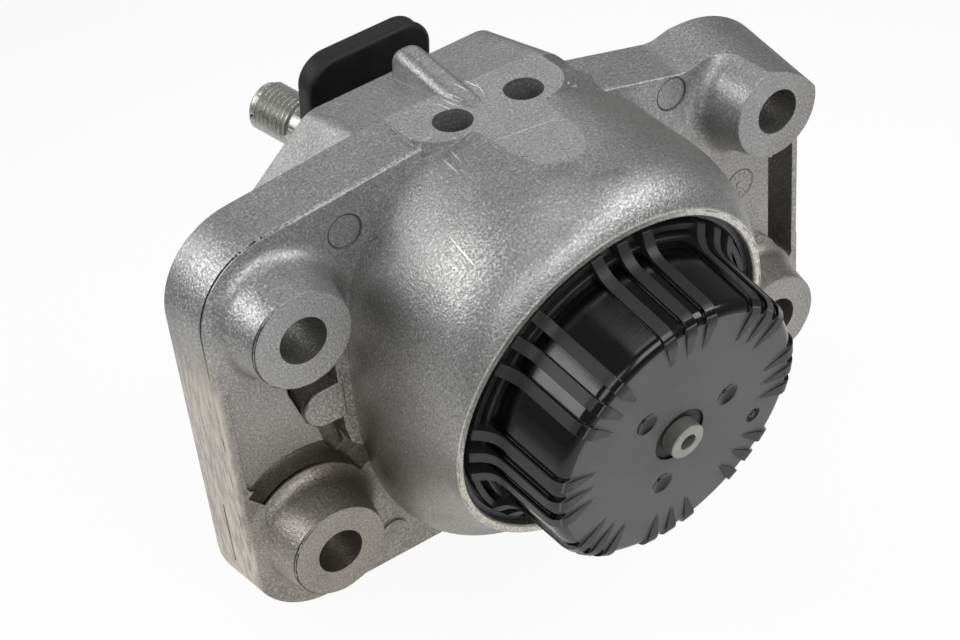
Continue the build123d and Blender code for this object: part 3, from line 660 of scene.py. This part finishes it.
def moulded_nylon(colours):
    """Glass-filled nylon: glossy black walls from a polished mould, and a fine satin face whose grey is partly a
    painted sheen.
    """
    material, tree, place = new_material("moulded_glass_filled_nylon")
    to_axis = axis_matrix().inverted()
    local = add_node(
        tree,
        "ShaderNodeMapping",
        {"Location": to_axis.to_translation(), "Rotation": to_axis.to_euler()},
        {"Vector": place},
    ).outputs[0]
    depth = add_node(tree, "ShaderNodeSeparateXYZ", None, {"Vector": local}).outputs["Z"]
    flat = add_node(
        tree, "ShaderNodeVectorMath", {"operation": "MULTIPLY", 1: (1.0, 1.0, 0.0)}, {0: local}
    ).outputs[0]
    radius = add_node(
        tree, "ShaderNodeVectorMath", {"operation": "LENGTH"}, {0: flat}
    ).outputs["Value"]
    # The ribs stand 1 mm proud of the wall, which is a slight cone, so what is more than 0.6 mm
    # outside it is a rib's top.
    cone = add_node(
        tree,
        "ShaderNodeMapRange",
        {
            "From Min": CAP_FACE * MM,
            "From Max": CAP_STEP * MM,
            "To Min": (CAP_FACE_RADIUS + 0.6) * MM,
            "To Max": (CAP_STEP_RADIUS + 0.6) * MM,
            "clamp": False,
        },
        {"Value": depth},
    ).outputs["Result"]
    proud = add_node(
        tree, "ShaderNodeMath", {"operation": "GREATER_THAN"}, {0: radius, 1: cone}
    ).outputs[0]
    above = add_node(
        tree,
        "ShaderNodeMath",
        {"operation": "GREATER_THAN", 1: (CAP_FACE + 0.12) * MM},
        {0: depth},
    ).outputs[0]
    on_rib = add_node(
        tree, "ShaderNodeMath", {"operation": "MAXIMUM"}, {0: above, 1: proud}
    ).outputs[0]
    on_face = add_node(
        tree,
        "ShaderNodeMath",
        {"operation": "COMPARE", 1: CAP_FACE * MM, 2: 0.12 * MM},
        {0: depth},
    ).outputs[0]
    # The glass fibres are 0.01 mm thick and up to 0.3 mm long, and their texture is drawn at
    # 0.5 mm, as coarse as it needs to show. The haze of handling varies over about 18 mm.
    grain = add_node(
        tree, "ShaderNodeTexNoise", {"Scale": per_mm(0.5), "Detail": 2.0}, {"Vector": place}
    ).outputs["Fac"]
    haze = add_node(
        tree,
        "ShaderNodeTexNoise",
        {"Scale": per_mm(18.0), "Detail": 3.0, "Roughness": 0.6},
        {"Vector": place},
    ).outputs["Fac"]
    shade, gloss = (
        add_node(
            tree,
            "ShaderNodeMapRange",
            {"From Min": 0.3, "From Max": 0.7, "To Min": least, "To Max": most},
            {"Value": haze},
        ).outputs["Result"]
        for least, most in ((0.0, 1.0), (0.1, 0.2))
    )
    # The face's grey is partly its satin finish and partly a painted sheen.
    face, wall = (
        add_node(tree, "ShaderNodeMix", {"data_type": "RGBA", 6: dull, 7: clear}, {0: share})
        .outputs[2]
        for dull, clear, share in (
            (linear("#545454"), colours.cap_face, shade),
            (colours.cap_wall, linear("#252526"), on_rib),
        )
    )
    colour = add_node(
        tree, "ShaderNodeMix", {"data_type": "RGBA"}, {0: on_face, 6: wall, 7: face}
    ).outputs[2]
    # The rib tops are satin, and the face is a little duller still.
    satin = add_node(tree, "ShaderNodeMix", {3: 0.45}, {0: on_rib, 2: gloss}).outputs[0]
    roughness = add_node(tree, "ShaderNodeMix", {3: 0.5}, {0: on_face, 2: satin}).outputs[0]
    close_surface(
        tree,
        0.3,
        {"IOR": 1.53},
        {"Base Color": colour, "Roughness": roughness},
        {"Strength": 0.12, "Distance": 0.05 * MM},
        {"Height": grain},
    )
    return material


def moulded_rubber(colour):
    """Moulded natural rubber: near black and satin, with a faint grey bloom of wax."""
    material, tree, place = new_material("moulded_natural_rubber")
    # The mould's spark-eroded texture is 0.1 mm wide and drawn at 0.8 mm, as coarse as it needs
    # to show. The bloom varies over about 9 mm.
    grain, bloom = (
        add_node(
            tree,
            "ShaderNodeTexNoise",
            {"Scale": per_mm(width), "Detail": detail, "Roughness": roughness},
            {"Vector": place},
        ).outputs["Fac"]
        for width, detail, roughness in ((0.8, 3.0, 0.5), (9.0, 4.0, 0.6))
    )
    grey, roughness = (
        add_node(
            tree,
            "ShaderNodeMapRange",
            {"From Min": start, "From Max": end, "To Min": least, "To Max": most},
            {"Value": bloom},
        ).outputs["Result"]
        for start, end, least, most in ((0.35, 0.75, 0.0, 1.0), (0.3, 0.7, 0.5, 0.68))
    )
    colour = add_node(
        tree, "ShaderNodeMix", {"data_type": "RGBA", 6: colour, 7: linear("#1b1b1b")}, {0: grey}
    ).outputs[2]
    close_surface(
        tree,
        0.5,
        {"IOR": 1.52},
        {"Base Color": colour, "Roughness": roughness},
        {"Strength": 0.25, "Distance": 0.08 * MM},
        {"Height": grain},
    )
    return material


def coated_steel(name, crystal, ground):
    """Steel under a thin zinc or phosphate coat: small crystals in two greys and a low sheen."""
    material, tree, place = new_material(name)
    # The crystals are under 0.05 mm wide and drawn at 0.6 mm, as coarse as they need to show.
    grain = add_node(
        tree,
        "ShaderNodeTexNoise",
        {"Scale": per_mm(0.6), "Detail": 3.0, "Roughness": 0.6},
        {"Vector": place},
    ).outputs["Fac"]
    mix, roughness = (
        add_node(
            tree,
            "ShaderNodeMapRange",
            {"From Min": start, "From Max": end, "To Min": least, "To Max": most},
            {"Value": grain},
        ).outputs["Result"]
        for start, end, least, most in ((0.35, 0.65, 0.0, 1.0), (0.3, 0.7, 0.32, 0.48))
    )
    colour = add_node(
        tree,
        "ShaderNodeMix",
        {"data_type": "RGBA", 6: linear(ground), 7: linear(crystal)},
        {0: mix},
    ).outputs[2]
    close_surface(
        tree,
        0.15,
        {"Metallic": 1.0},
        {"Base Color": colour, "Roughness": roughness},
        {"Strength": 0.25, "Distance": 0.05 * MM},
        {"Height": grain},
    )
    return material


def grey_nylon():
    """Unfilled grey nylon, moulded matt, with a slight milky haze."""
    material, tree, place = new_material("moulded_grey_nylon")
    # The haze varies over about 2.5 mm.
    haze = add_node(
        tree, "ShaderNodeTexNoise", {"Scale": per_mm(2.5), "Detail": 3.0}, {"Vector": place}
    ).outputs["Fac"]
    mix = add_node(
        tree, "ShaderNodeMapRange", {"From Min": 0.3, "From Max": 0.7}, {"Value": haze}
    ).outputs["Result"]
    colour = add_node(
        tree,
        "ShaderNodeMix",
        {"data_type": "RGBA", 6: linear("#95948e"), 7: linear("#aaa9a3")},
        {0: mix},
    ).outputs[2]
    # The sleeve's side is painted darker than its end: painted shade.
    side = add_node(
        tree,
        "ShaderNodeMapRange",
        {"From Min": (PORT_END - 0.1) * MM, "From Max": (PORT_END - 0.4) * MM},
        {"Value": axis_depth(tree, place)},
    ).outputs["Result"]
    colour = lay_over(tree, colour, (((side,), 0.75, linear("#4b4c49"), "MIX"),))
    close_surface(tree, 0.25, {"IOR": 1.53, "Roughness": 0.45}, {"Base Color": colour})
    return material


def paint(piece, material):
    """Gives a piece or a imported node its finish."""
    piece.data.materials.clear()
    piece.data.materials.append(material)


def select_only(piece):
    """Makes one object the active and only selected one."""
    bpy.ops.object.select_all(action="DESELECT")
    piece.select_set(True)
    bpy.context.view_layer.objects.active = piece


def settle(piece, place):
    """Puts a piece at its place and moves that place into its mesh."""
    piece.matrix_world = place @ piece.matrix_world
    select_only(piece)
    bpy.ops.object.transform_apply(location=True, rotation=True, scale=True)


def smooth(piece, degrees):
    """Shades a piece smooth up to an angle between its faces."""
    select_only(piece)
    bpy.ops.object.shade_smooth_by_angle(angle=math.radians(degrees))


def own_copy(piece):
    """A copy of a piece with its own mesh."""
    twin = piece.copy()
    twin.data = piece.data.copy()
    bpy.context.collection.objects.link(twin)
    return twin


def merged_copy(name, node, gap):
    """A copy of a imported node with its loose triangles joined, left selected in edit mode."""
    piece = bpy.data.objects.new(name, frame["nodes"][node].data.copy())
    bpy.context.collection.objects.link(piece)
    select_only(piece)
    bpy.ops.object.mode_set(mode="EDIT")
    bpy.ops.mesh.select_all(action="SELECT")
    bpy.ops.mesh.remove_doubles(threshold=gap)
    return piece


def flash_bead(name, radius, width, place, material, seed):
    """Rough flash left on a round edge: a thin bead whose points are knocked about."""
    bpy.ops.object.select_all(action="DESELECT")
    # One step about every 2 mm keeps the bead ragged.
    bpy.ops.mesh.primitive_torus_add(
        major_segments=max(48, int(radius / (0.35 * MM))),
        minor_segments=6,
        major_radius=radius,
        minor_radius=width / 2,
    )
    bead = bpy.context.object
    bead.name = name
    bpy.ops.object.mode_set(mode="EDIT")
    bpy.ops.mesh.select_all(action="SELECT")
    bpy.ops.transform.vertex_random(offset=0.28 * width, seed=seed)
    bpy.ops.object.mode_set(mode="OBJECT")
    settle(bead, place)
    smooth(bead, 60)
    paint(bead, material)
    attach(bead, "mount_body")


def tick_disc(name, radius, count, stand, place, material):
    """A moulded or cast disc: a round rim, ticks inside it and a plain pin in the middle."""
    bpy.ops.object.select_all(action="DESELECT")
    bpy.ops.mesh.primitive_torus_add(
        major_segments=40, minor_segments=8, major_radius=radius, minor_radius=stand
    )
    disc = bpy.context.object
    disc.name = name
    bpy.ops.mesh.primitive_cube_add(size=1.0)
    tick = bpy.context.object
    bpy.ops.object.mode_set(mode="EDIT")
    bpy.ops.mesh.select_all(action="SELECT")
    bpy.ops.transform.resize(value=(TICK_LENGTH * radius, TICK_WIDTH * radius, 1.6 * stand))
    bpy.ops.mesh.bevel(offset=0.02 * radius, segments=1)
    bpy.ops.object.mode_set(mode="OBJECT")
    ticks = [tick] + [own_copy(tick) for step in range(count - 1)]
    outwards = Matrix.Translation((TICK_DISTANCE * radius, 0, 0))
    for step, twin in enumerate(ticks):
        twin.matrix_world = Matrix.Rotation(2 * math.pi * step / count, 4, "Z") @ outwards
    bpy.ops.object.select_all(action="DESELECT")
    bpy.ops.mesh.primitive_cylinder_add(vertices=24, radius=PIN_RADIUS * radius, depth=2 * stand)
    pin = bpy.context.object
    bpy.ops.object.mode_set(mode="EDIT")
    bpy.ops.mesh.select_all(action="SELECT")
    bpy.ops.mesh.bevel(offset=0.05 * radius, segments=2)
    bpy.ops.object.mode_set(mode="OBJECT")
    select_only(disc)
    for part in ticks + [pin]:
        part.select_set(True)
    bpy.ops.object.join()
    settle(disc, place)
    smooth(disc, 40)
    paint(disc, material)
    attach(disc, "mount_body")


def gate_marks(places, material):
    """The small pips that the moulding gates leave in the cap's dimples."""
    bpy.ops.object.select_all(action="DESELECT")
    bpy.ops.mesh.primitive_cone_add(
        vertices=20, radius1=0.7 * MM, radius2=0.45 * MM, depth=0.5 * MM
    )
    pip = bpy.context.object
    bpy.ops.object.mode_set(mode="EDIT")
    bpy.ops.mesh.select_all(action="SELECT")
    bpy.ops.mesh.bevel(offset=0.08 * MM, segments=2)
    bpy.ops.object.mode_set(mode="OBJECT")
    pips = [pip] + [own_copy(pip) for place in places[1:]]
    for number, (mark, place) in enumerate(zip(pips, places), 1):
        mark.name = "gate_mark_%d" % number
        settle(mark, place)
        smooth(mark, 40)
        paint(mark, material)
        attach(mark, "mount_body")


class MOUNT_OT_casting(bpy.types.Operator):
    """Finishes the cast housing, core and channel plates, and adds flash and the cast disc"""

    bl_idname = "mount.casting"
    bl_label = "Cast parts"

    def execute(self, context):
        colours = context.scene.mount_finishes
        sizes = context.scene.mount_sizes
        blasted = blasted_aluminium("shot_blasted_aluminium", colours, True)
        plain = blasted_aluminium("as_cast_aluminium", colours, False)
        paint(frame["nodes"]["housing"], blasted)
        for name in ("core", "lower_channel_plate", "upper_channel_plate"):
            paint(frame["nodes"][name], plain)
        # The upper right boss is cut by the flange's corner and has no whole edge to carry flash.
        # Each bead has a seed of its own.
        corners = ((-BOLT_X, BOLT_Z), (-BOLT_X, -BOLT_Z), (BOLT_X, -BOLT_Z))
        for number, (x, z) in enumerate(corners):
            flash_bead(
                "boss_flash_%d" % (number + 1),
                (BOSS_FACE_RADIUS - 0.15) * MM,
                sizes.flash_width,
                face_matrix(x, 0.3, z),
                plain,
                number,
            )
        flash_bead(
            "rim_flash",
            (RIM_RADIUS - 0.35) * MM,
            1.4 * sizes.flash_width,
            axis_matrix(back=0.3 - RIM_FRONT),
            plain,
            7,
        )
        place = face_matrix(CAST_DISC[0], WEB_FLOOR, CAST_DISC[1])
        tick_disc("cast_tick_disc", 4.1 * MM, sizes.tick_count, 0.16 * MM, place, plain)
        return {"FINISHED"}


class MOUNT_OT_cap(bpy.types.Operator):
    """Finishes the ribbed cap, the air cup and the port, and adds the tick disc and gate marks"""

    bl_idname = "mount.cap"
    bl_label = "Cap and port"

    def execute(self, context):
        plastic = moulded_nylon(context.scene.mount_finishes)
        for name in ("bottom_cap", "air_cup"):
            paint(frame["nodes"][name], plastic)
        paint(frame["nodes"]["port_sleeve"], grey_nylon())
        # The pips stand on the floors of the three dimples, 1 mm under the face.
        places = [cap_matrix(DIMPLE_RADIUS, turn, CAP_FACE - 1.0) for turn in (15, 135, 255)]
        gate_marks(places, plastic)
        count = context.scene.mount_sizes.tick_count
        place = cap_matrix(25.8, -22, CAP_FACE - 0.25)
        tick_disc("moulded_tick_disc", 1.8 * MM, count, 0.12 * MM, place, plastic)
        return {"FINISHED"}


class MOUNT_OT_rubber(bpy.types.Operator):
    """Finishes the rubber parts and puts a smoother copy of the main spring in place of the imported one"""

    bl_idname = "mount.rubber"
    bl_label = "Rubber parts"

    def execute(self, context):
        rubber = moulded_rubber(context.scene.mount_finishes.rubber)
        for name in RUBBER_NODES:
            paint(frame["nodes"][name], rubber)
        spring = merged_copy("main_spring_rubber", "main_spring", 0.01 * MM)
        bpy.ops.mesh.subdivide(number_cuts=2)
        bpy.ops.object.mode_set(mode="OBJECT")
        smooth(spring, 35)
        paint(spring, rubber)
        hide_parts("main_spring")
        # The rubber is bonded to its ring up to 3 mm behind the boss faces and to the core from 20.
        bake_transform(spring)
        return {"FINISHED"}


class MOUNT_OT_steel(bpy.types.Operator):
    """Finishes the steel rings, rivets and plate"""

    bl_idname = "mount.steel"
    bl_label = "Steel parts"

    def execute(self, context):
        dark = coated_steel("phosphated_steel", "#606163", "#3c3d3f")
        for name in STEEL_NODES:
            paint(frame["nodes"][name], dark)
        return {"FINISHED"}


class MOUNT_OT_stud(bpy.types.Operator):
    """Finishes the stud and cuts its thread"""

    bl_idname = "mount.stud"
    bl_label = "Threaded stud"

    def execute(self, context):
        sizes = context.scene.mount_sizes
        radius = STUD_RADIUS * MM
        root = radius - THREAD_DEPTH * sizes.thread_pitch
        foot = STUD_MIDDLE - STUD_AXIS * (STUD_LENGTH / 2) * MM
        zinc = coated_steel("zinc_plated_steel", "#dadad6", "#b6b6b2")

        blank = merged_copy("stud_blank", "stud", 0.001 * MM)
        bpy.ops.object.mode_set(mode="OBJECT")
        # The threaded end is turned down to the thread's root.
        for vertex in blank.data.vertices:
            offset = vertex.co - foot
            along = offset.dot(STUD_AXIS)
            out = offset - STUD_AXIS * along
            if along > -0.01 * MM and out.length > root:
                vertex.co = foot + STUD_AXIS * along + out.normalized() * root
        smooth(blank, 35)
        paint(blank, zinc)
        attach(blank, "core_side")
        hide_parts("stud")

        # The thread's section is a triangle, wound round the stud's axis.
        bpy.ops.object.select_all(action="DESELECT")
        bpy.ops.mesh.primitive_circle_add(
            vertices=3, radius=1.0, fill_type="NGON", rotation=(math.pi / 2, 0, 0)
        )
        thread = context.object
        thread.name = "stud_thread"
        bpy.ops.object.transform_apply(location=True, rotation=True, scale=True)
        crest = max(thread.data.vertices, key=lambda vertex: vertex.co.z)
        feet = [vertex for vertex in thread.data.vertices if vertex.index != crest.index]
        crest.co = (radius, 0, 0)
        sunk = root - 0.15 * (radius - root)
        for vertex, side in zip(sorted(feet, key=lambda vertex: vertex.co.x), (-1, 1)):
            vertex.co = (sunk, 0, side * THREAD_HALF_WIDTH * sizes.thread_pitch)
        twist = thread.modifiers.new("thread", "SCREW")
        twist.axis = "Z"
        twist.angle = 2 * math.pi
        twist.screw_offset = sizes.thread_pitch
        # The last 1.2 mm of the threaded end is its chamfer.
        twist.iterations = int((sizes.thread_length - 1.2 * MM) / sizes.thread_pitch)
        twist.steps = THREAD_STEPS
        twist.render_steps = THREAD_STEPS
        twist.use_merge_vertices = False
        select_only(thread)
        bpy.ops.object.modifier_apply(modifier="thread")
        bpy.ops.object.mode_set(mode="EDIT")
        bpy.ops.mesh.select_all(action="SELECT")
        bpy.ops.mesh.remove_doubles(threshold=0.001 * MM)
        bpy.ops.mesh.normals_make_consistent(inside=False)
        bpy.ops.object.mode_set(mode="OBJECT")
        basis = STUD_AXIS.to_track_quat("Z", "Y").to_matrix().to_4x4()
        start = foot + STUD_AXIS * 0.5 * sizes.thread_pitch
        settle(thread, Matrix.Translation(start) @ basis)
        smooth(thread, 35)
        paint(thread, zinc)
        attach(thread, "core_side")
        return {"FINISHED"}


class MOUNT_OT_stage(bpy.types.Operator):
    """Adds the floor, the light and the camera"""

    bl_idname = "mount.stage"
    bl_label = "Stage"

    def execute(self, context):
        stage = context.scene.mount_stage
        bpy.ops.object.select_all(action="DESELECT")
        bpy.ops.mesh.primitive_plane_add(
            size=FLOOR_SIZE, location=(0, 0, CAD_BOX[0].z - stage.floor_drop)
        )
        floor = context.object
        floor.name = "floor"
        bpy.ops.object.transform_apply(location=True, rotation=True, scale=True)
        paint(floor, self.paper())
        self.add_world(context)
        self.add_lamps(context, stage.lamp_power)
        self.add_camera(context)
        context.scene.view_settings.view_transform = "Standard"
        return {"FINISHED"}

    def paper(self):
        """Matt white paper: shown mostly at full white, with part of the mount's shadow in it."""
        material, tree, place = new_material("matt_white_paper")
        # Fibres are 0.03 mm thick, and their clumps are drawn at 1.2 mm.
        fibre = add_node(
            tree, "ShaderNodeTexNoise", {"Scale": per_mm(1.2), "Detail": 3.0}, {"Vector": place}
        ).outputs["Fac"]
        mix = add_node(
            tree, "ShaderNodeMapRange", {"From Min": 0.3, "From Max": 0.7}, {"Value": fibre}
        ).outputs["Result"]
        colour = add_node(
            tree,
            "ShaderNodeMix",
            {"data_type": "RGBA", 6: linear("#f4f4f4"), 7: linear("#fbfbfb")},
            {0: mix},
        ).outputs[2]
        # The paper is bright under the mount and grey beyond the reach of a studio light.
        reach = add_node(
            tree, "ShaderNodeVectorMath", {"operation": "LENGTH"}, {0: place}
        ).outputs["Value"]
        pool = add_node(
            tree, "ShaderNodeMapRange", {"From Min": POOL[1], "From Max": POOL[0]}, {"Value": reach}
        ).outputs["Result"]
        colour = add_node(
            tree, "ShaderNodeMix", {"data_type": "RGBA", 6: linear("#7a7a7a")}, {0: pool, 7: colour}
        ).outputs[2]
        plain = add_node(tree, "ShaderNodeBsdfDiffuse", None, {"Color": colour})
        white = add_node(
            tree, "ShaderNodeEmission", {"Color": linear("#ffffff"), "Strength": 1.0}
        )
        # Metal and plastic mirror the paper beside the mount, so they get a smaller share of white.
        ray = add_node(tree, "ShaderNodeLightPath").outputs
        mirrored = add_node(
            tree,
            "ShaderNodeMath",
            {"operation": "MAXIMUM"},
            {0: ray["Is Glossy Ray"], 1: ray["Is Transmission Ray"]},
        ).outputs[0]
        glow = add_node(
            tree,
            "ShaderNodeMapRange",
            {"To Min": MIRRORED_WHITE[0], "To Max": MIRRORED_WHITE[1]},
            {"Value": pool},
        ).outputs["Result"]
        mirrored = add_node(
            tree, "ShaderNodeMath", {"operation": "MULTIPLY"}, {0: mirrored, 1: glow}
        ).outputs[0]
        share = add_node(
            tree,
            "ShaderNodeMath",
            {"operation": "MULTIPLY_ADD", 1: FLOOR_WHITE},
            {0: ray["Is Camera Ray"], 2: mirrored},
        ).outputs[0]
        mixed = add_node(
            tree,
            "ShaderNodeMixShader",
            None,
            {0: share, 1: plain.outputs[0], 2: white.outputs[0]},
        )
        add_node(tree, "ShaderNodeOutputMaterial", None, {"Surface": mixed.outputs[0]})
        return material

    def add_world(self, context):
        """Adds the faint even light of a white room."""
        world = bpy.data.worlds.new("studio")
        context.scene.world = world
        world.use_nodes = True
        tree = world.node_tree
        tree.nodes.clear()
        room = add_node(
            tree,
            "ShaderNodeBackground",
            {"Color": linear("#ffffff"), "Strength": WORLD_STRENGTH},
        )
        add_node(tree, "ShaderNodeOutputWorld", None, {"Surface": room.outputs[0]})

    def add_lamps(self, context, power):
        """Hangs the soft boxes round the mount, all aimed at the middle of its dome."""
        aim = axis_place(0, 0, 0)
        for name, direction, share in LAMPS:
            lamp = bpy.data.lights.new(name, "AREA")
            lamp.size = LAMP_SIZE
            lamp.energy = power * share
            holder = bpy.data.objects.new(name, lamp)
            holder.location = aim + Vector(direction).normalized() * LAMP_DISTANCE
            holder.rotation_euler = (aim - holder.location).to_track_quat("-Z", "Y").to_euler()
            context.collection.objects.link(holder)

    def add_camera(self, context):
        """Sets the camera at the photograph's view."""
        turn, tip, roll = CAMERA_TURN, CAMERA_TIP, CAMERA_ROLL
        level = math.cos(tip)
        look = Vector((math.sin(turn) * level, math.cos(turn) * level, -math.sin(tip)))
        right = Vector((math.cos(turn), -math.sin(turn), 0.0))
        up = right.cross(look)
        across = math.cos(roll) * right + math.sin(roll) * up
        above = -math.sin(roll) * right + math.cos(roll) * up
        camera = bpy.data.cameras.new("camera")
        camera.sensor_width = 36.0
        camera.lens = CAMERA_LENS
        camera.clip_start = 0.01
        holder = bpy.data.objects.new("camera", camera)
        basis = Matrix((across, above, -look)).transposed().to_4x4()
        holder.matrix_world = Matrix.Translation(CAMERA_AIM - look * CAMERA_DISTANCE) @ basis
        context.collection.objects.link(holder)
        context.scene.camera = holder


class MOUNT_PT_panel(bpy.types.Panel):
    """Lists the steps in their order"""

    bl_idname = "MOUNT_PT_panel"
    bl_label = "Engine mount"
    bl_space_type = "VIEW_3D"
    bl_region_type = "UI"
    bl_category = "Engine mount"

    def draw(self, context):
        for group in GROUPS:
            for name in GROUPS[group].__annotations__:
                self.layout.prop(getattr(context.scene, group), name)
        for operator in OPERATORS:
            self.layout.operator(operator.bl_idname)


OPERATORS = (
    MOUNT_OT_casting,
    MOUNT_OT_cap,
    MOUNT_OT_rubber,
    MOUNT_OT_steel,
    MOUNT_OT_stud,
    MOUNT_OT_stage,
)
GROUPS = {"mount_finishes": MountFinishes, "mount_sizes": MountSizes, "mount_stage": MountStage}


def register():
    """Registers the groups, the operators and the panel."""
    for name, group in GROUPS.items():
        bpy.utils.register_class(group)
        setattr(bpy.types.Scene, name, bpy.props.PointerProperty(type=group))
    for entry in OPERATORS + (MOUNT_PT_panel,):
        bpy.utils.register_class(entry)


def unregister():
    """Takes them away again in the opposite order."""
    for entry in reversed(OPERATORS + (MOUNT_PT_panel,)):
        bpy.utils.unregister_class(entry)
    for name, group in GROUPS.items():
        delattr(bpy.types.Scene, name)
        bpy.utils.unregister_class(group)


def main():
    register()
    bpy.ops.mount.casting()
    bpy.ops.mount.cap()
    bpy.ops.mount.rubber()
    bpy.ops.mount.steel()
    bpy.ops.mount.stud()
    bpy.ops.mount.stage()


if __name__ == "__main__":
    main()
